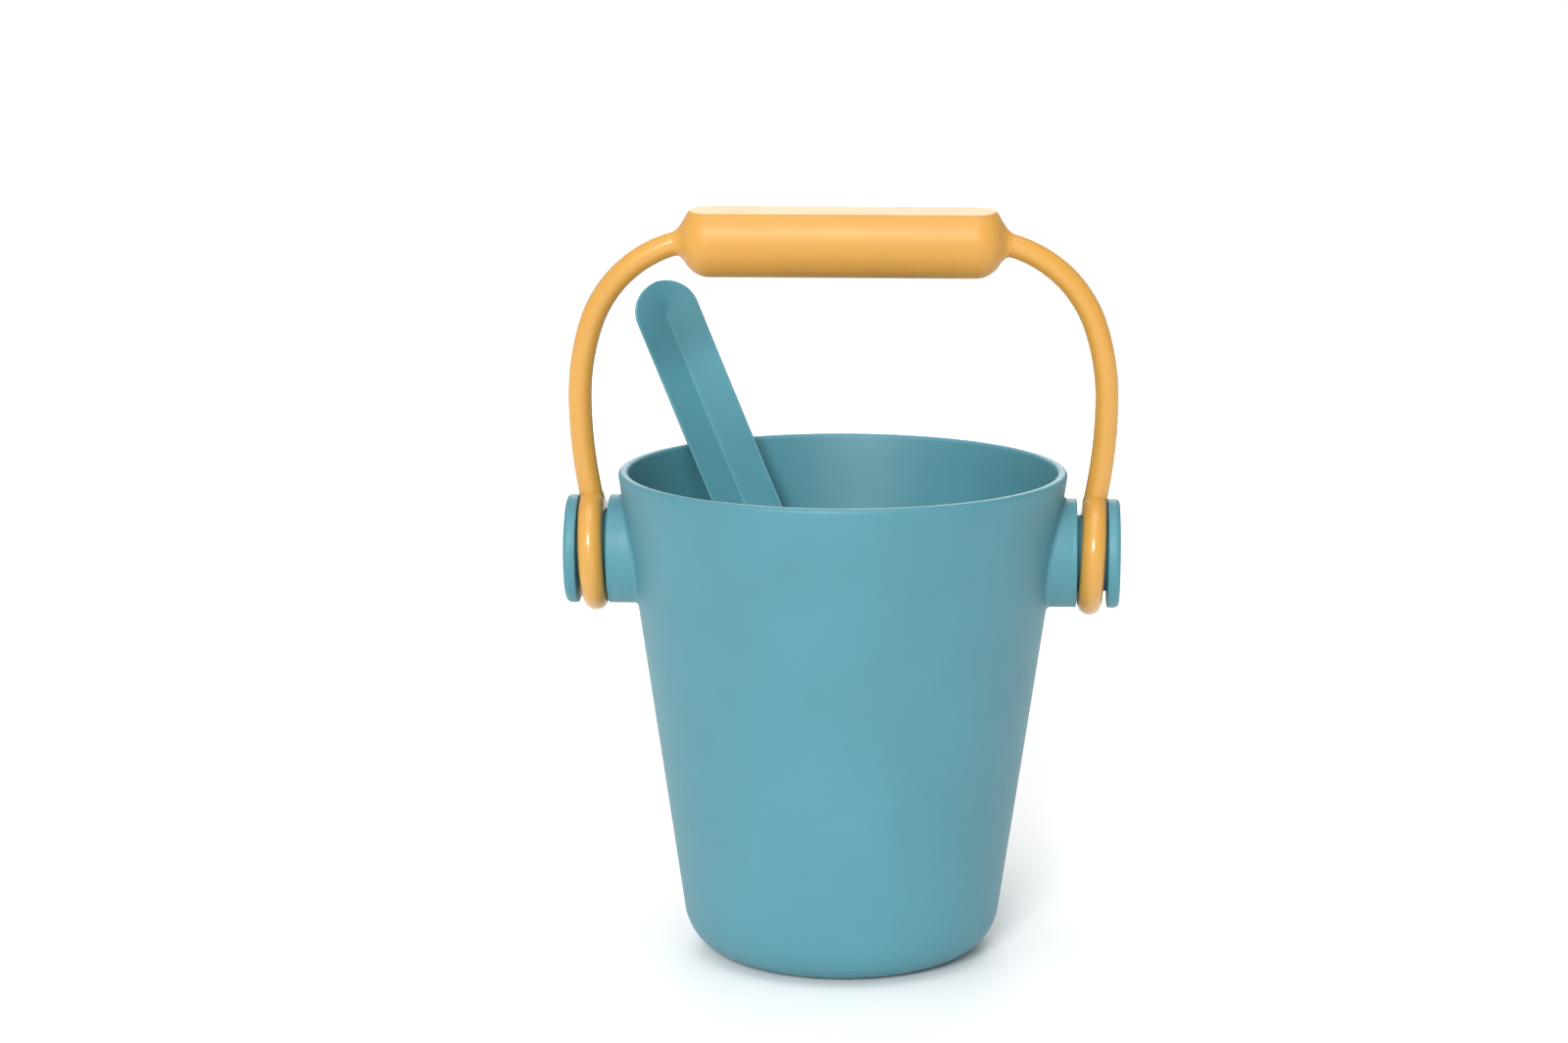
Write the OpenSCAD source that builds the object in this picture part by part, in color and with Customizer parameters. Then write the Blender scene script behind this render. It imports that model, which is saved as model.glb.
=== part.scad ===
// Child's sand bucket with a swinging handle and a shovel.
// Millimetres. +Z is up, +X runs along the handle's hinge axis, -Y is the front.
// The origin is the centre of the flat base that the bucket stands on.

/* [Tub] */
// Outer diameter at the rim
rim_d = 140; // [120:1:160]
// Height from the base to the top of the rim
tub_h = 153.5; // [130:0.5:180]
// Diameter that the tapered wall would reach at the base without its rounding
base_d = 95.2; // [85:0.2:110]
// Thickness of the wall and of the floor
wall = 3.1; // [2.6:0.1:4]
// Radius of the rounding between the wall and the base
base_round = 16; // [8:0.5:20]
// Radius of the rounded edges of the rim
lip_round = 1.3; // [0.5:0.1:1.3]

/* [Hubs] */
// Height of the hinge axis above the base
hub_z = 127.7; // [110:0.1:135]
// Radius of the bosses and of the caps
hub_r = 17; // [14:0.5:20]
// Distance from the tub's axis to the outer end of each boss
boss_end = 72.8; // [72:0.1:78]
// Width of the groove that each handle ring runs in
groove_w = 9.5; // [8:0.1:12]
// Radius of the spindle at the bottom of the groove
spindle_r = 11.8; // [9:0.1:13]
// Thickness of each cap
cap_t = 3.8; // [3:0.1:6]
// Radius of the rounded edge of each cap
cap_round = 1.6; // [0.5:0.1:2.5]
// Radius of the plug that holds each cap in its spindle
plug_r = 6; // [4:0.5:8]
// Length of the plug
plug_l = 8; // [5:0.5:14]

/* [Handle] */
// Diameter of the handle's rod
rod_d = 7.4; // [6:0.1:9]
// Diameter of the rod where it becomes a ring
ring_d = 7.5; // [6:0.1:8.5]
// Radial running clearance between ring and spindle
ring_gap = 0.05; // [0.02:0.01:0.1]
// Lean of the handle towards the front as it stands
handle_lean = 4; // [0:0.5:10]
// Angle that the rod leans outwards as it leaves the ring
splay = 11.9; // [6:0.1:14]
// Radius of the gentle outward bow of each arm
bow_r = 158; // [120:1:200]
// Radius of the bend above the bow
shoulder_r = 74; // [60:1:90]
// Angle turned by the bend above the bow
shoulder_turn = 18.7; // [10:0.1:25]
// Radius of the tight bend that leads to the grip
corner_r = 39.3; // [30:0.1:45]
// Angle turned by the tight bend
corner_turn = 57.2; // [50:0.1:65]

/* [Grip] */
// Radius of the grip
grip_r = 11.7; // [9:0.1:14]
// Length of the grip between the ends of its necks
grip_l = 104; // [90:1:120]
// Length of each flared neck
neck_l = 4.2; // [2:0.1:8]
// Wall of the neck round the rod
neck_wall = 0.8; // [0.5:0.1:2]
// Radius of the rounded shoulders of the grip
grip_round = 8.6; // [4:0.1:9]
// Height of the flat on top, above the grip's axis
flat_h = 9; // [7:0.1:11]

/* [Shovel] */
// Overall length
shovel_l = 220; // [190:1:240]
// Width of the handle
shaft_w = 21; // [16:0.5:26]
// Width of the blade
blade_w = 56; // [40:1:64]
// Length of the blade up to its shoulders
blade_l = 82; // [60:1:100]
// Length of the shoulders between blade and handle
taper_l = 30; // [20:1:45]
// Slope of the two faces that meet at the crease
fold = 30; // [20:1:35]
// Thickness of the material
shovel_t = 2.4; // [1.8:0.1:4]

/* [Shovel pose] */
// Place of the blade's tip inside the tub
tip_pos = [22.8, 18.9, 4.9]; // [-40:0.1:40]
// Turn of the shovel from lying flat to leaning on the rim
shovel_turn = [73.8, -19.8, 16.9]; // [-90:0.1:90]

/* [Hidden] */
$fn = 96;
over = 1;

// Tub: the wall is a cone, and its two faces share the rounding's centre
taper = atan((rim_d - base_d) / 2 / tub_h);
wall_run = wall / cos(taper);
function outer_r(z) = base_d / 2 + z * tan(taper);
function inner_r(z) = outer_r(z) - wall_run;
round_x = outer_r(base_round) - base_round / cos(taper);

// Hubs
cap_in = boss_end + groove_w;
cap_out = cap_in + cap_t;
hub_chamfer = 0.5;
boss_root = 12;
plug_play = 0.5;

// Handle: each arm is a chain of arcs that starts at the top of the ring
rod_r = rod_d / 2;
ring_in = spindle_r + ring_gap;
ring_x = boss_end + groove_w / 2;
ring_mid = ring_in + ring_d / 2;
arm_out = 0.5;
arm_x = ring_x + arm_out;
bow_x = arm_x + bow_r * (1 - cos(splay));
bow_z = ring_mid + bow_r * sin(splay);
shoulder_x = bow_x - shoulder_r * (1 - cos(shoulder_turn));
shoulder_z = bow_z + shoulder_r * sin(shoulder_turn);
corner_x = shoulder_x - corner_r * cos(shoulder_turn);
corner_z = shoulder_z - corner_r * sin(shoulder_turn);
end_turn = shoulder_turn + corner_turn;
arm_end_x = corner_x + corner_r * cos(end_turn);
arm_end_z = corner_z + corner_r * sin(end_turn);
entry_r = 30;
entry_x = arm_end_x - entry_r * cos(end_turn);
grip_z = arm_end_z + entry_r * (1 - sin(end_turn));
rod_sides = 20;
bow_steps = 5;
corner_steps = 14;
entry_steps = 4;

// Grip: its rounded shoulders stop where the necks begin
shoulder_end = 66;
shoulder_steps = 10;
neck_steps = 4;

// Shovel
shaft_r = shaft_w / 2;
blade_r = blade_w / 2;
skin = shovel_t / cos(fold);
fold_reach = 40;
taper_steps = 12;

// The tub's outer half-profile, filled to the axis
module outer_profile() {
    polygon([
        [0, 0],
        [round_x, 0],
        [round_x + base_round * cos(taper), base_round * (1 - sin(taper))],
        [outer_r(tub_h - lip_round), tub_h - lip_round],
        [0, tub_h - lip_round]
    ]);
    translate([round_x, base_round]) circle(r = base_round);
}

// The half-profile of the space inside the tub, carried on above the rim
module inner_profile() {
    r = base_round - wall;
    polygon([
        [0, wall],
        [round_x, wall],
        [round_x + r * cos(taper), base_round - r * sin(taper)],
        [inner_r(tub_h + over), tub_h + over],
        [0, tub_h + over]
    ]);
    translate([round_x, base_round]) circle(r = r);
}

// The rounded top of the wall
module lip_profile() {
    z = tub_h - lip_round;
    out_x = outer_r(z) - lip_round / cos(taper);
    in_x = inner_r(z) + lip_round / cos(taper);
    translate([out_x, z]) circle(r = lip_round);
    translate([in_x, z]) circle(r = lip_round);
    translate([in_x, z - over]) square([out_x - in_x, lip_round + over]);
}

// Turns a section about the hinge axis: its X is the radius and its Y runs outwards along the axis
module about_hinge() {
    translate([0, 0, hub_z]) rotate([0, 90, 0]) rotate_extrude() children();
}

// One boss with its spindle, before the inside of the tub is cut out of it
module boss() {
    start = outer_r(hub_z) - boss_root;
    about_hinge() {
        polygon([
            [0, start],
            [hub_r, start],
            [hub_r, boss_end - hub_chamfer],
            [hub_r - hub_chamfer, boss_end],
            [0, boss_end]
        ]);
        translate([0, boss_end - over]) square([spindle_r, groove_w + over]);
    }
}

// The hole in the end of the spindle, a little deeper than the plug
module plug_hole() {
    about_hinge() translate([0, cap_in - plug_l - plug_play]) square([plug_r, plug_l + over]);
}

// Both sides of something made for the right side
module both_sides() {
    children();
    mirror([1, 0, 0]) children();
}

module tub() {
    color([0.41, 0.67, 0.73]) {
        rotate_extrude() {
            difference() {
                outer_profile();
                inner_profile();
            }
            lip_profile();
        }
        difference() {
            both_sides() boss();
            rotate_extrude() inner_profile();
            both_sides() plug_hole();
        }
    }
}

// A cap is a disc with a rounded edge, on a plug that fills the spindle's hole
module cap() {
    color([0.41, 0.67, 0.73]) about_hinge() {
        translate([0, cap_in]) square([hub_r, cap_t - cap_round]);
        translate([0, cap_in]) square([hub_r - cap_round, cap_t]);
        translate([hub_r - cap_round, cap_out - cap_round]) circle(r = cap_round);
        translate([0, cap_in - plug_l]) square([plug_r, plug_l + over]);
    }
}

module left_cap() {
    mirror([1, 0, 0]) cap();
}

module right_cap() {
    cap();
}

// Points of one bend of the rod: [x, z, angle of the outward normal above +X]
function bend(cx, cz, r, from, turn, steps) = [
    for (i = [0:steps - 1]) let (a = from + turn * i / steps) [cx + r * cos(a), cz + r * sin(a), a]
];

// The right half of the rod, from the top of its ring to the middle of the grip
right_half = concat(
    bend(bow_x - bow_r, bow_z, bow_r, -splay, splay, bow_steps),
    bend(bow_x - shoulder_r, bow_z, shoulder_r, 0, shoulder_turn, bow_steps),
    bend(corner_x, corner_z, corner_r, shoulder_turn, corner_turn, corner_steps),
    bend(entry_x, grip_z - entry_r, entry_r, end_turn, 90 - end_turn, entry_steps),
    [[entry_x, grip_z, 90]]
);
rod_path = concat(
    right_half,
    [for (i = [len(right_half) - 1:-1:0]) let (p = right_half[i]) [-p[0], p[1], 180 - p[2]]]
);

// The rod, swept along its path
module rod() {
    n = rod_sides;
    last = len(rod_path) - 1;
    points = [
        for (p = rod_path) for (k = [0:n - 1]) let (t = 360 * k / n)
            [p[0] + rod_r * cos(t) * cos(p[2]), rod_r * sin(t), p[1] + rod_r * cos(t) * sin(p[2])]
    ];
    skin = [
        for (i = [0:last - 1]) for (k = [0:n - 1]) let (m = (k + 1) % n)
            [i * n + k, i * n + m, (i + 1) * n + m, (i + 1) * n + k]
    ];
    foot = [for (k = [n - 1:-1:0]) k];
    tail = [for (k = [0:n - 1]) last * n + k];
    polyhedron(points, concat(skin, [foot, tail]));
}

// The ring at the foot of an arm: flat where it runs and at its sides, round outside
module ring() {
    rotate([0, 90, 0]) rotate_extrude() {
        translate([ring_mid, ring_x]) circle(d = ring_d);
        translate([ring_in, ring_x - ring_d / 2]) square([ring_d / 2, ring_d]);
    }
}

// Places something modelled about the hinge axis at its lean
module on_hinge() {
    translate([0, 0, hub_z]) rotate([handle_lean, 0, 0]) children();
}

module handle_rod() {
    color([0.95, 0.72, 0.36]) on_hinge() rod();
}

module left_ring() {
    color([0.95, 0.72, 0.36]) on_hinge() mirror([1, 0, 0]) ring();
}

module right_ring() {
    color([0.95, 0.72, 0.36]) on_hinge() ring();
}

// Points of an arc in the grip's section, [radius, length]
function section_arc(r, x, y, from, to, steps) = [
    for (i = [0:steps]) let (a = from + (to - from) * i / steps) [x + r * cos(a), y + r * sin(a)]
];

// The grip's section: straight barrel, rounded shoulders, flared necks
module grip_section() {
    half = grip_l / 2 - neck_l;
    end_r = rod_r + neck_wall;
    end = concat(
        section_arc(grip_round, grip_r - grip_round, half - grip_round, 0, shoulder_end, shoulder_steps),
        section_arc(neck_l, end_r + neck_l, half + neck_l, 225, 180, neck_steps),
        [[rod_r, half + neck_l]]
    );
    polygon(concat(end, [for (i = [len(end) - 1:-1:0]) [end[i][0], -end[i][1]]]));
}

module grip() {
    color([0.95, 0.72, 0.36]) on_hinge() translate([0, 0, grip_z]) difference() {
        rotate([0, 90, 0]) rotate_extrude() grip_section();
        translate([-grip_l / 2, -grip_r, flat_h]) cube([grip_l, 2 * grip_r, grip_r]);
    }
}

// Half-width of the shovel across its shoulders, t running from 0 to 1
function taper_half(t) = shaft_r + (blade_r - shaft_r) * (1 + cos(180 * t)) / 2;

// The shovel's outline: round tip, blade, curved shoulders, handle with a round end
module shovel_outline() {
    steps = [for (i = [0:taper_steps]) i / taper_steps];
    right = [for (t = steps) [taper_half(t), blade_l + taper_l * t]];
    left = [for (i = [taper_steps:-1:0]) [-right[i][0], right[i][1]]];
    translate([0, blade_r]) circle(r = blade_r);
    translate([-blade_r, blade_r]) square([blade_w, blade_l - blade_r]);
    polygon(concat(right, left));
    translate([-shaft_r, blade_l]) square([shaft_w, shovel_l - shaft_r - blade_l]);
    translate([0, shovel_l - shaft_r]) circle(r = shaft_r);
}

// Everything above two faces that meet in a crease, closed by a cone at the handle's end
module above_fold(drop) {
    rise = fold_reach * tan(fold);
    end_y = shovel_l - shaft_r;
    translate([0, end_y, -drop]) rotate([90, 0, 0]) linear_extrude(end_y + over) {
        polygon([[0, 0], [fold_reach, rise], [-fold_reach, rise]]);
    }
    translate([0, end_y, -drop]) cylinder(h = rise, r1 = 0, r2 = fold_reach);
}

module shovel() {
    color([0.41, 0.67, 0.73]) translate(tip_pos) rotate(shovel_turn) difference() {
        intersection() {
            translate([0, 0, -skin]) linear_extrude(blade_r * tan(fold) + skin) shovel_outline();
            above_fold(skin);
        }
        above_fold(0);
    }
}

tub();
left_cap();
right_cap();
handle_rod();
left_ring();
right_ring();
grip();
shovel();
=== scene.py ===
"""Sand bucket: detailed meshes, materials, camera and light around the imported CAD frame.

Shapes are worked out in millimetres and made in metres. Lights and camera are in metres.
"""
import math

import bpy
import bmesh
from mathutils import Matrix, Vector


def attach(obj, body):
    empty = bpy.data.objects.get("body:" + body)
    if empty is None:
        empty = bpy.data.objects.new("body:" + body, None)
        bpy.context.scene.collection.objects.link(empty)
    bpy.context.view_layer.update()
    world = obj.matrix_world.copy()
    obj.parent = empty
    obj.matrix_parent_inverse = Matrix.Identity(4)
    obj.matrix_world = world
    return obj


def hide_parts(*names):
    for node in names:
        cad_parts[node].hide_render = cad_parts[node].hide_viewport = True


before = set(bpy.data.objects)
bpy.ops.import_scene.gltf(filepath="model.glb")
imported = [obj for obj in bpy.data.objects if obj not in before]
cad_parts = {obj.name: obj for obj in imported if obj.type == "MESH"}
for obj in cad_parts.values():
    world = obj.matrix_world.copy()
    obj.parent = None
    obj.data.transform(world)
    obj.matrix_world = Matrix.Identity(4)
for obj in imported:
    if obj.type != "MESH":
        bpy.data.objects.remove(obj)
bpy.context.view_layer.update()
MM = 0.001

# Driving dimensions in millimetres and degrees, the same as in the CAD model
RIM_R, TUB_H, BASE_R = 70.0, 153.5, 47.6
WALL, BASE_ROUND, LIP_ROUND = 3.1, 16.0, 1.3
HUB_Z, HUB_R, BOSS_END, GROOVE_W = 127.7, 17.0, 72.8, 9.5
SPINDLE_R, CAP_T, CAP_ROUND, PLUG_R, PLUG_L = 11.8, 3.8, 1.6, 6.0, 8.0
ROD_R, RING_D, RING_GAP, HANDLE_LEAN = 3.7, 7.5, 0.05, 4.0
ARM_OUT, SPLAY, BOW_R, SHOULDER_R, SHOULDER_TURN = 0.5, 11.9, 158.0, 74.0, 18.7
CORNER_R, CORNER_TURN, ENTRY_R = 39.3, 57.2, 30.0
GRIP_R, GRIP_HALF, GRIP_ROUND, FLAT_H = 11.7, 52.0, 8.6, 9.0
SHOVEL_L, SHAFT_R, BLADE_R = 220.0, 10.5, 28.0
BLADE_L, TAPER_L, FOLD, SHOVEL_T = 82.0, 30.0, 30.0, 2.4
SHOVEL_POS, SHOVEL_TURN = (22.8, 18.9, 4.9), (73.8, -19.8, 16.9)

# Where the look departs from the CAD model: the grip's necks are shorter and thinner
# (4.2 and 0.8 there), and each ring tilts and has a bore of a larger radius by the ease
NECK_L, NECK_WALL = 2.8, 0.18
RING_TILT, RING_EASE = 2.5, 0.2

TAPER = math.atan((RIM_R - BASE_R) / TUB_H)
CAP_IN = BOSS_END + GROOVE_W
CAP_OUT = CAP_IN + CAP_T
RING_IN = SPINDLE_R + RING_GAP
RING_MID = RING_IN + RING_D / 2
RING_X = BOSS_END + GROOVE_W / 2
END_TURN = SHOULDER_TURN + CORNER_TURN
SHAFT_END = SHOVEL_L - SHAFT_R


def rad(*angles):
    return [math.radians(a) for a in angles]


# ---------------------------------------------------------------- mesh helpers

def placed(name, data):
    """A new object in the scene."""
    obj = bpy.data.objects.new(name, data)
    bpy.context.scene.collection.objects.link(obj)
    return obj


def make_object(name, points, faces, place=None):
    """A smooth-shaded object from points in millimetres."""
    mesh = bpy.data.meshes.new(name)
    place = place or Matrix.Identity(4)
    mesh.from_pydata([tuple((place @ Vector(p)) * MM) for p in points], [], faces)
    mesh.validate()
    mesh.update()
    for polygon in mesh.polygons:
        polygon.use_smooth = True
    return placed(name, mesh)


def spaced(start, end, steps):
    """Even steps from start to end, with the end but not the start."""
    return [start + (end - start) * i / steps for i in range(1, steps + 1)]


def arc(cx, cy, r, start, end, steps):
    """Points of an arc, angles in degrees, both ends included."""
    a, b = rad(start, end)
    turn = [a + (b - a) * i / steps for i in range(steps + 1)]
    return [(cx + r * math.cos(t), cy + r * math.sin(t)) for t in turn]


def oval(cx, cy, half_w, half_h, *angles):
    """Points of an ellipse at the angles given, in degrees."""
    return [(cx + half_w * math.cos(a), cy + half_h * math.sin(a)) for a in rad(*angles)]


def loft(sections, closed_path=False):
    """Faces between rings of equal length, with a fan at each open end."""
    n = len(sections[0])
    points = [p for ring in sections for p in ring]
    rows = len(sections)
    faces = []
    for i in range(rows if closed_path else rows - 1):
        for k in range(n):
            a, b = i * n + k, i * n + (k + 1) % n
            j = (i + 1) % rows
            faces.append((a, b, j * n + (k + 1) % n, j * n + k))
    if not closed_path:
        for row, flip in ((0, True), (rows - 1, False)):
            centre = [sum(p[axis] for p in sections[row]) / n for axis in range(3)]
            points.append(tuple(centre))
            hub = len(points) - 1
            for k in range(n):
                a, b = row * n + k, row * n + (k + 1) % n
                faces.append((hub, b, a) if flip else (hub, a, b))
    return points, faces


def lathe(profile, steps=160, axis="z"):
    """A closed section turned about Z, or about X with its second number along X."""
    sections = []
    for i in range(steps):
        a = 2 * math.pi * i / steps
        ring = [(r * math.cos(a), r * math.sin(a), h) for r, h in profile]
        if axis == "x":
            ring = [(h, y, -x) for x, y, h in ring]
        sections.append(ring)
    return loft(sections, closed_path=True)


def joined(parts):
    """Several point and face lists as one."""
    points, faces = [], []
    for more_points, more_faces in parts:
        start = len(points)
        points += more_points
        faces += [tuple(i + start for i in face) for face in more_faces]
    return points, faces


def mirrored(part):
    """The same shape on the other side of X = 0."""
    points, faces = part
    return [(-x, y, z) for x, y, z in points], [tuple(reversed(face)) for face in faces]


def on_handle():
    """From the hinge axis to where the leaning handle stands."""
    return Matrix.Translation((0, 0, HUB_Z)) @ Matrix.Rotation(math.radians(HANDLE_LEAN), 4, "X")


def outward(obj):
    """Merges doubled points, drops loose edges and turns every face outwards."""
    mesh = bmesh.new()
    mesh.from_mesh(obj.data)
    bmesh.ops.remove_doubles(mesh, verts=mesh.verts, dist=1e-7)
    loose = [edge for edge in mesh.edges if not edge.link_faces]
    bmesh.ops.delete(mesh, geom=loose, context="EDGES")
    bmesh.ops.recalc_face_normals(mesh, faces=mesh.faces)
    mesh.to_mesh(obj.data)
    mesh.free()


# ---------------------------------------------------------------- materials

# Noise scales per metre, and how far the colour and the roughness swing with them
MOTTLE_SCALE, GLOSS_SCALE, GRAIN_SCALE = 28, 60, 2200
SHADE_SWING, GLOSS_SWING = 0.045, 0.05
# Depth of the moulded grain and reach of light under the surface, in metres
GRAIN_DEPTH, SCATTER = 0.0002, (0.004, 0.003, 0.002)
COAT_ROUGHNESS = 0.16


def moulded_plastic(name, colour, roughness, grain, coat=0.0, soft=0.0):
    """Moulded plastic: faint mottling, uneven gloss and a fine moulded grain."""
    material = bpy.data.materials.new(name)
    material.use_nodes = True
    nodes, links = material.node_tree.nodes, material.node_tree.links
    shader = nodes["Principled BSDF"]
    shader.inputs["Coat Weight"].default_value = coat
    shader.inputs["Coat Roughness"].default_value = COAT_ROUGHNESS
    shader.inputs["Subsurface Weight"].default_value = soft
    shader.inputs["Subsurface Radius"].default_value = SCATTER
    place = nodes.new("ShaderNodeTexCoord")

    def noise(scale, detail):
        node = nodes.new("ShaderNodeTexNoise")
        node.inputs["Scale"].default_value = scale
        node.inputs["Detail"].default_value = detail
        links.new(place.outputs["Object"], node.inputs["Vector"])
        return node.outputs["Fac"]

    ramp = nodes.new("ShaderNodeValToRGB")
    shades = (1 - SHADE_SWING, 1 + SHADE_SWING)
    for stop, shade, position in zip(ramp.color_ramp.elements, shades, (0.3, 0.7)):
        stop.position = position
        stop.color = [c * shade for c in colour] + [1]
    links.new(noise(MOTTLE_SCALE, 3), ramp.inputs["Fac"])
    links.new(ramp.outputs["Color"], shader.inputs["Base Color"])
    gloss = nodes.new("ShaderNodeMapRange")
    gloss.inputs["To Min"].default_value = roughness - GLOSS_SWING
    gloss.inputs["To Max"].default_value = roughness + GLOSS_SWING
    links.new(noise(GLOSS_SCALE, 4), gloss.inputs["Value"])
    links.new(gloss.outputs["Result"], shader.inputs["Roughness"])
    bump = nodes.new("ShaderNodeBump")
    bump.inputs["Strength"].default_value = grain
    bump.inputs["Distance"].default_value = GRAIN_DEPTH
    links.new(noise(GRAIN_SCALE, 2), bump.inputs["Height"])
    links.new(bump.outputs["Normal"], shader.inputs["Normal"])
    return material


TEAL = moulded_plastic("teal_matte", (0.070, 0.244, 0.298), 0.50, 0.22, soft=0.03)
# Painted light: the shovel's teal is the tub's teal made about a tenth lighter, which brightens its facets
# where the lamps leave them darker
TEAL_SHOVEL_PAINTED_LIGHT = moulded_plastic("teal_matte_shovel_painted_light", (0.076, 0.268, 0.328), 0.46, 0.20, soft=0.03)
YELLOW = moulded_plastic("yellow_satin", (0.60, 0.302, 0.047), 0.40, 0.08, coat=0.55, soft=0.06)
YELLOW_GRIP = moulded_plastic("yellow_matte", (0.60, 0.302, 0.055), 0.47, 0.16, soft=0.06)


def finish_piece(obj, body, slot, material, *nodes):
    """Gives a piece its material and its body, and hides the CAD nodes that it stands for; the slot is not
    used.
    """
    outward(obj)
    obj.data.materials.append(material)
    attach(obj, body)
    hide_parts(*nodes)


# ---------------------------------------------------------------- tub

def wall_r(z):
    """Outer radius of the tapered wall."""
    return BASE_R + z * math.tan(TAPER)


def wall_x(y, z):
    """How far to the right the wall's outer face lies."""
    return math.sqrt(max(wall_r(z) ** 2 - y * y, 0))


def tub_section():
    """The wall and floor as one closed section from the axis round the rim and back."""
    slope = math.degrees(TAPER)
    thick, lip = WALL / math.cos(TAPER), LIP_ROUND / math.cos(TAPER)
    round_x = wall_r(BASE_ROUND) - BASE_ROUND / math.cos(TAPER)
    lip_z = TUB_H - LIP_ROUND
    base = arc(round_x, BASE_ROUND, BASE_ROUND, -90, -slope, 16)
    rim = arc(wall_r(lip_z) - lip, lip_z, LIP_ROUND, -slope, 90, 8)
    rim += arc(wall_r(lip_z) - thick + lip, lip_z, LIP_ROUND, 90, 180 - slope, 8)
    floor = arc(round_x, BASE_ROUND, BASE_ROUND - WALL, -slope, -90, 14)
    up = [(wall_r(z), z) for z in spaced(base[-1][1], lip_z, 24)[:-1]]
    down = [(wall_r(z) - thick, z) for z in spaced(lip_z, floor[0][1], 24)[:-1]]
    middle = round_x / 2
    return [(0, 0), (middle, 0)] + base + up + rim + down + floor + [(middle, WALL), (0, WALL)]


def boss_section(c, s):
    """The boss in one direction out from its own axis, as (x, radius)."""
    fillet, fillet_steps, foot = 1.2, 6, 0.6
    line_x, line_half, line_depth = BOSS_END - 1.3, 0.3, 0.12
    bevel, bevel_x, bevel_r = 0.45, 0.12, 0.15
    chamfer = 0.3

    def lands(r):
        return wall_x(r * c, HUB_Z + r * s)

    section = [(lands(HUB_R + fillet) - foot, HUB_R + fillet)]
    for i in range(fillet_steps + 1):
        turn = math.pi / 2 * i / fillet_steps
        r = HUB_R + fillet * (1 - math.sin(turn))
        section.append((lands(r) + fillet * (1 - math.cos(turn)), r))
    section += [(line_x - line_half, HUB_R), (line_x, HUB_R - line_depth), (line_x + line_half, HUB_R)]
    section += [(BOSS_END - bevel, HUB_R), (BOSS_END - bevel_x, HUB_R - bevel_r), (BOSS_END, HUB_R - bevel)]
    section += [(BOSS_END, SPINDLE_R + chamfer), (BOSS_END + chamfer, SPINDLE_R), (CAP_IN, SPINDLE_R)]
    section += [(CAP_IN, PLUG_R), (CAP_IN - PLUG_L, PLUG_R), (CAP_IN - PLUG_L, 0)]
    return section + [(lands(r) - WALL / 2, r) for r in (0, HUB_R * 0.4, HUB_R * 0.8)]


def boss(sides=96):
    """Right boss and spindle: filleted on to the wall, a fine line and a bevel at the groove."""
    sections = []
    for i in range(sides):
        a = 2 * math.pi * i / sides
        c, s = math.cos(a), math.sin(a)
        sections.append([(x, r * c, HUB_Z + r * s) for x, r in boss_section(c, s)])
    return loft(sections, closed_path=True)


def cap_section():
    """A disc with a rounded rim and a face set in by a third of a millimetre, on its plug."""
    set_in, slope_in, slope_mid, slope_out, face_r = 0.35, 10.8, 11.6, 12.2, 5
    bevel, bulge = 0.4, 0.12
    slope = slope_out - slope_in
    face = [(r, CAP_OUT - set_in * (slope_out - r) / slope) for r in (slope_in, slope_mid, slope_out)]
    edge = arc(HUB_R - CAP_ROUND, CAP_OUT - CAP_ROUND, CAP_ROUND, 90, 0, 8)
    back = [(HUB_R, CAP_IN + bevel), (HUB_R - bulge, CAP_IN + bulge), (HUB_R - bevel, CAP_IN)]
    plug = [(PLUG_R, CAP_IN), (PLUG_R, CAP_IN - PLUG_L), (0, CAP_IN - PLUG_L)]
    return face + edge + back + plug + [(0, CAP_OUT - set_in), (face_r, CAP_OUT - set_in)]


right_boss = boss()
tub = make_object("tub_shell", *joined([lathe(tub_section(), 224), right_boss, mirrored(right_boss)]))
finish_piece(tub, "tub", "tub_plastic", TEAL, "tub")
right_cap = lathe(cap_section(), 128, "x")
for side, shape in (("right", right_cap), ("left", mirrored(right_cap))):
    piece = make_object(side + "_hub_cap", *shape, place=Matrix.Translation((0, 0, HUB_Z)))
    finish_piece(piece, "tub", "tub_plastic", TEAL, side + "_cap")


# ---------------------------------------------------------------- handle

def arm_path():
    """Right half of the rod: (x, z, angle of its outward normal), from the ring to the grip's middle."""
    bow_x = RING_X + ARM_OUT + BOW_R * (1 - math.cos(math.radians(SPLAY)))
    bow_z = RING_MID + BOW_R * math.sin(math.radians(SPLAY))
    a, b = rad(SHOULDER_TURN, END_TURN)
    corner_x = bow_x - SHOULDER_R * (1 - math.cos(a)) - CORNER_R * math.cos(a)
    corner_z = bow_z + SHOULDER_R * math.sin(a) - CORNER_R * math.sin(a)
    entry_x = corner_x + CORNER_R * math.cos(b) - ENTRY_R * math.cos(b)
    grip_z = corner_z + CORNER_R * math.sin(b) + ENTRY_R * (1 - math.sin(b))
    bends = [
        (bow_x - BOW_R, bow_z, BOW_R, -SPLAY, 0, 14),
        (bow_x - SHOULDER_R, bow_z, SHOULDER_R, 0, SHOULDER_TURN, 12),
        (corner_x, corner_z, CORNER_R, SHOULDER_TURN, END_TURN, 30),
        (entry_x, grip_z - ENTRY_R, ENTRY_R, END_TURN, 90, 8),
    ]
    path = []
    for cx, cz, r, start, end, steps in bends:
        for i, (x, z) in enumerate(arc(cx, cz, r, start, end, steps)[:-1]):
            path.append((x, z, start + (end - start) * i / steps))
    path.append((entry_x, grip_z, 90))
    return path, grip_z, entry_x


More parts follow.
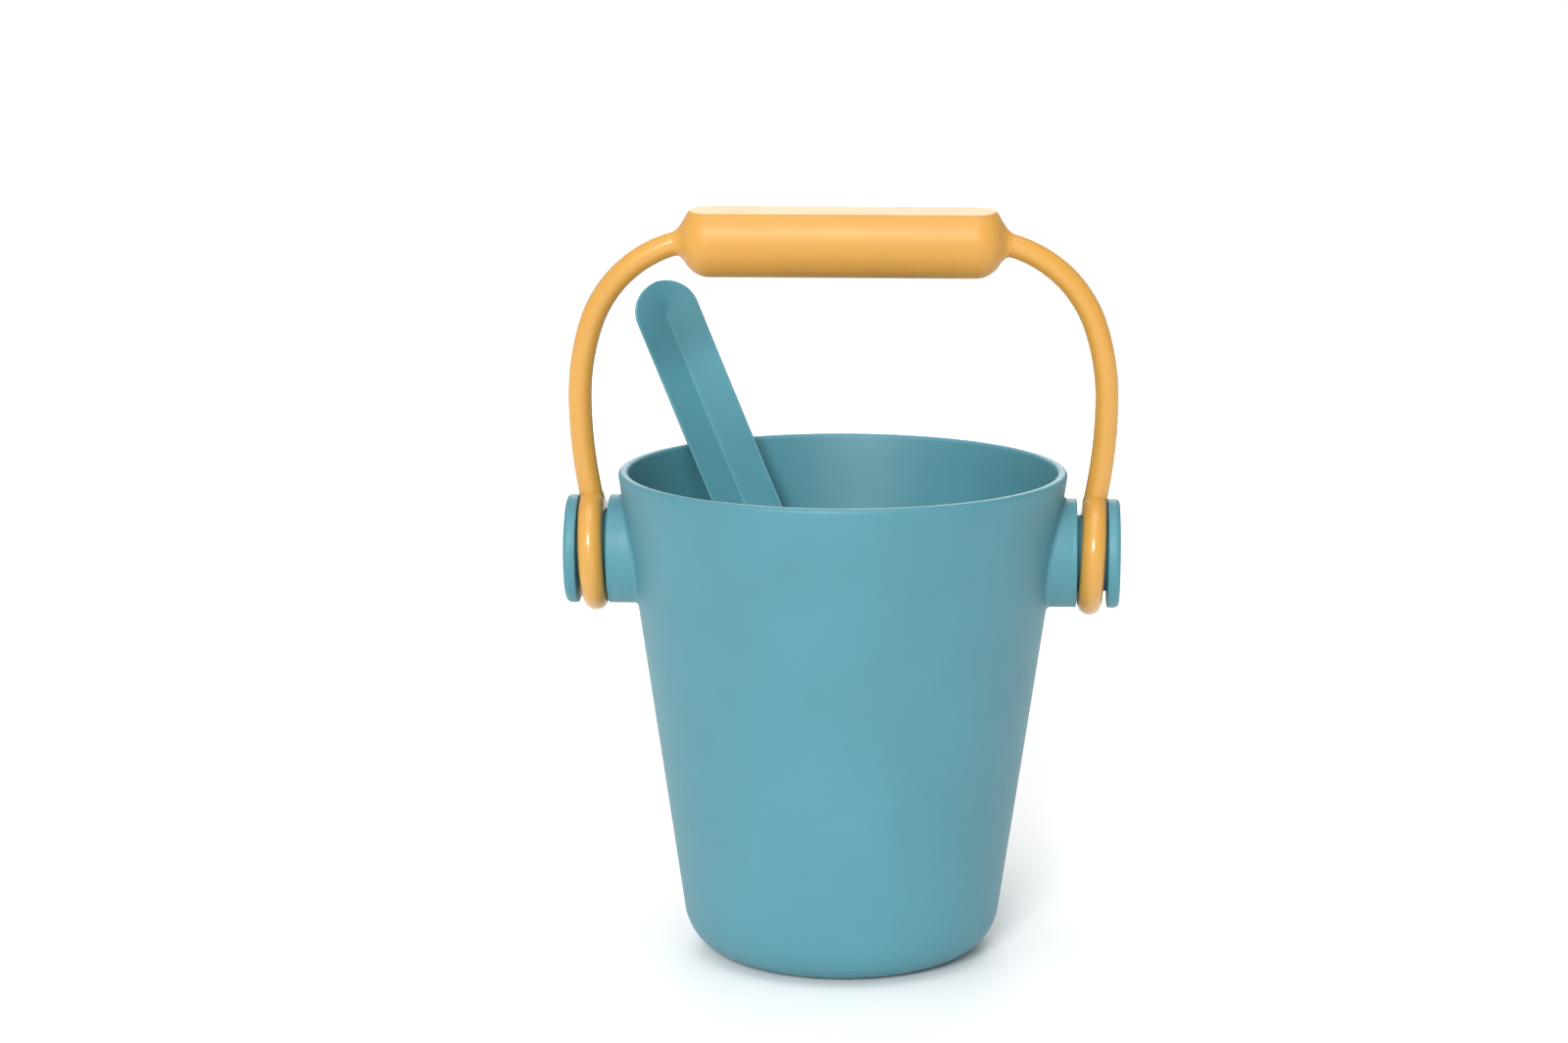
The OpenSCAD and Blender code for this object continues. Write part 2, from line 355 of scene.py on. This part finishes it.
def rod(path, sides=40):
    """The rod as one tube along both arms and through the grip."""
    whole = path + [(-x, z, 180 - t) for x, z, t in reversed(path)]
    sections = []
    for x, z, t in whole:
        a = math.radians(t)
        ring = []
        for k in range(sides):
            b = 2 * math.pi * k / sides
            out = ROD_R * math.cos(b)
            ring.append((x + out * math.cos(a), ROD_R * math.sin(b), z + out * math.sin(a)))
        sections.append(ring)
    return loft(sections)


def ring_section():
    """Flat where it runs on the spindle, then rounded all the way over."""
    half, soft = RING_D / 2, 0.8
    low = RING_IN + RING_EASE + soft
    top = arc(RING_MID, 0, half, -90, 90, 24)
    corners = arc(low, half - soft, soft, 90, 180, 5)[1:] + arc(low, soft - half, soft, 180, 270, 5)[:-1]
    return [(low, -half)] + top + [(low, half)] + corners


def grip_profile():
    """Half of the grip as (distance from its middle, radius): barrel, rounded shoulder, concave neck."""
    shoulder_end, neck_start = 66, 234
    middle = GRIP_HALF - NECK_L - GRIP_ROUND
    barrel = [(middle * i / 12, GRIP_R) for i in range(12)]
    shoulder = arc(GRIP_R - GRIP_ROUND, middle, GRIP_ROUND, 0, shoulder_end, 26)
    neck = arc(ROD_R + NECK_WALL + NECK_L, GRIP_HALF, NECK_L, neck_start, 180, 18)
    return barrel + [(x, r) for r, x in shoulder + neck]


def grip(grip_z, entry_x):
    """The barrel as rings along X: its flat top has a crisp edge, and its ends follow the rod's bend."""
    half_profile = grip_profile()
    stations = [(-x, r) for x, r in reversed(half_profile)] + half_profile[1:]
    edge, most_edge, bulge_y, bulge_z = 0.22, 0.3, 0.12, 0.10
    follow_x, around, across = 46.5, 90, 10
    sections = []
    for x, r in stations:
        past = max(abs(x) - entry_x, 0)
        ease = min(max((abs(x) - follow_x) / (GRIP_HALF - follow_x), 0), 1)
        drop = (ENTRY_R - math.sqrt(ENTRY_R ** 2 - past ** 2)) * ease * ease * (3 - 2 * ease)
        half_flat = math.acos(min(FLAT_H / r, 0.9999))
        soft = min(edge / r, half_flat * most_edge)
        sweep = 2 * (math.pi - half_flat - soft)
        turns = [math.pi / 2 + half_flat + soft + sweep * k / around for k in range(around + 1)]
        ring = [(r * math.cos(a), r * math.sin(a)) for a in turns]
        flat_y, flat_z = r * math.sin(half_flat), min(FLAT_H, r)
        inset = min(edge, flat_y * most_edge)
        ring.append((flat_y - inset * bulge_y, flat_z - inset * bulge_z))
        for k in range(across + 1):
            ring.append(((flat_y - inset) * (1 - 2 * k / across), flat_z))
        ring.append((-flat_y + inset * bulge_y, flat_z - inset * bulge_z))
        sections.append([(x, y, grip_z - drop + z) for y, z in ring])
    return loft(sections)


handle_path, GRIP_Z, ENTRY_X = arm_path()
piece = make_object("handle_arms", *rod(handle_path), place=on_handle())
finish_piece(piece, "handle", "handle_plastic", YELLOW, "handle_rod")
for side, sign in (("right", 1), ("left", -1)):
    tilt = Matrix.Rotation(math.radians(sign * RING_TILT), 4, "Y")
    place = on_handle() @ Matrix.Translation((sign * RING_X, 0, 0)) @ tilt
    piece = make_object(side + "_handle_ring", *lathe(ring_section(), 128, "x"), place=place)
    finish_piece(piece, "handle", "handle_plastic", YELLOW, side + "_ring")
piece = make_object("handle_grip", *grip(GRIP_Z, ENTRY_X), place=on_handle())
finish_piece(piece, "handle", "handle_plastic", YELLOW_GRIP, "grip")


# ---------------------------------------------------------------- shovel

def shovel_half(y):
    """Half-width of the outline at a distance from the blade's tip."""
    if y < BLADE_R:
        return math.sqrt(max(BLADE_R ** 2 - (BLADE_R - y) ** 2, 0))
    if y < BLADE_L:
        return BLADE_R
    if y < BLADE_L + TAPER_L:
        t = (y - BLADE_L) / TAPER_L
        return SHAFT_R + (BLADE_R - SHAFT_R) * (1 + math.cos(math.pi * t)) / 2
    return SHAFT_R if y < SHAFT_END else math.sqrt(max(SHAFT_R ** 2 - (y - SHAFT_END) ** 2, 0))


def trough(x, y):
    """Height of the inner face: two slopes that meet in a softened crease, and a bowl at the end."""
    crease = 0.2
    reach = math.hypot(x, max(y - SHAFT_END, 0))
    return (math.sqrt(reach * reach + crease * crease) - crease) * math.tan(math.radians(FOLD))


def shovel():
    """The shovel lying on its back: sections across it, with a rounded edge all round."""
    skin = SHOVEL_T / math.cos(math.radians(FOLD))
    edge, least_half, tip_y, last_y = 0.9, 0.15, 0.06, SHOVEL_L - 0.01
    across, crowding = 32, 1.7
    tip = [BLADE_R * (1 - math.cos(math.pi / 2 * i / 24)) for i in range(1, 25)]
    blade = spaced(BLADE_R, BLADE_L, 12)
    taper = spaced(BLADE_L, BLADE_L + TAPER_L, 20)
    shaft = spaced(BLADE_L + TAPER_L, SHAFT_END, 24)
    round_end = [SHAFT_END + SHAFT_R * math.sin(math.pi / 2 * i / 26) for i in range(1, 26)]
    sections = []
    for y in [tip_y] + tip + blade + taper + shaft + round_end + [last_y]:
        half = max(shovel_half(y), least_half)
        soft = min(edge, half * 0.5)
        shares = [2 * k / across - 1 for k in range(across + 1)]
        spread = [(half - soft) * math.copysign(abs(t) ** crowding, t) for t in shares]
        mid = trough(half, y) - skin / 2
        ring = [(x, trough(x, y)) for x in spread]
        ring += oval(half - soft, mid, soft, skin / 2, 60, 30, 0, -30, -60)
        ring += [(x, trough(x, y) - skin) for x in reversed(spread)]
        ring += oval(soft - half, mid, soft, skin / 2, -120, -150, 180, 150, 120)
        sections.append([(x, y, z) for x, z in ring])
    return loft(sections)


rx, ry, rz = rad(*SHOVEL_TURN)
turn = Matrix.Rotation(rz, 4, "Z") @ Matrix.Rotation(ry, 4, "Y") @ Matrix.Rotation(rx, 4, "X")
piece = make_object("sand_shovel", *shovel(), place=Matrix.Translation(SHOVEL_POS) @ turn)
finish_piece(piece, "shovel", "shovel_plastic", TEAL_SHOVEL_PAINTED_LIGHT, "shovel")


# ---------------------------------------------------------------- floor, light and camera

def facing(vector, axis):
    """The turn that points an axis of an object along a direction."""
    return vector.to_track_quat(axis, "Y").to_euler()


def plain_floor(reach=14):
    """A pale square, reaching so many metres each way."""
    mesh = bpy.data.meshes.new("floor")
    corners = [(-reach, -reach, 0), (reach, -reach, 0), (reach, reach, 0), (-reach, reach, 0)]
    mesh.from_pydata(corners, [], [(0, 1, 2, 3)])
    floor = placed("floor", mesh)
    material = bpy.data.materials.new("pale_floor")
    material.use_nodes = True
    shader = material.node_tree.nodes["Principled BSDF"]
    shader.inputs["Base Color"].default_value = (0.97, 0.97, 0.97, 1)
    shader.inputs["Roughness"].default_value = 0.9
    mesh.materials.append(material)


def softbox(name, place, aim, width, height, watts):
    """A rectangular lamp that faces a point."""
    data = bpy.data.lights.new(name, "AREA")
    data.shape = "RECTANGLE"
    data.size, data.size_y = width, height
    data.energy = watts
    light = placed(name, data)
    light.location = place
    light.rotation_euler = facing(Vector(aim) - Vector(place), "-Z")


def sun(name, azimuth, elevation, spread, strength):
    """A soft distant light; azimuth 0 is straight in front and positive is to the right."""
    a, e = rad(azimuth, elevation)
    data = bpy.data.lights.new(name, "SUN")
    data.energy, data.angle = strength, math.radians(spread)
    towards = Vector((math.sin(a) * math.cos(e), -math.cos(a) * math.cos(e), math.sin(e)))
    placed(name, data).rotation_euler = facing(towards, "Z")


def studio_world(left, right):
    """A white surround whose strength changes evenly from the left to the right."""
    world = bpy.data.worlds.new("studio")
    world.use_nodes = True
    nodes, links = world.node_tree.nodes, world.node_tree.links
    direction = nodes.new("ShaderNodeTexCoord")
    split = nodes.new("ShaderNodeSeparateXYZ")
    links.new(direction.outputs["Generated"], split.inputs["Vector"])
    strength = nodes.new("ShaderNodeMapRange")
    strength.inputs["From Min"].default_value = -1
    strength.inputs["To Min"].default_value = left
    strength.inputs["To Max"].default_value = right
    links.new(split.outputs["X"], strength.inputs["Value"])
    nodes["Background"].inputs["Color"].default_value = (1, 1, 1, 1)
    links.new(strength.outputs["Result"], nodes["Background"].inputs["Strength"])
    bpy.context.scene.world = world


plain_floor()
sun("key", -9, 25, 18, 2.4)
sun("top", 0, 78, 50, 1.1)
softbox("back_strip", (0, 1.3, 0.63), (0, 0, 0.19), 0.8, 0.7, 7.5)
studio_world(0.60, 0.30)
bpy.context.scene.view_settings.view_transform = "Standard"

AIM = Vector((-0.0183, 0, 0.1367))
camera = placed("camera", bpy.data.cameras.new("camera"))
camera.data.lens = 87.4
camera.data.sensor_width = 36
camera.location = (0.0408, -1.1657, 0.3568)
camera.rotation_euler = facing(AIM - Vector(camera.location), "-Z")
bpy.context.scene.camera = camera
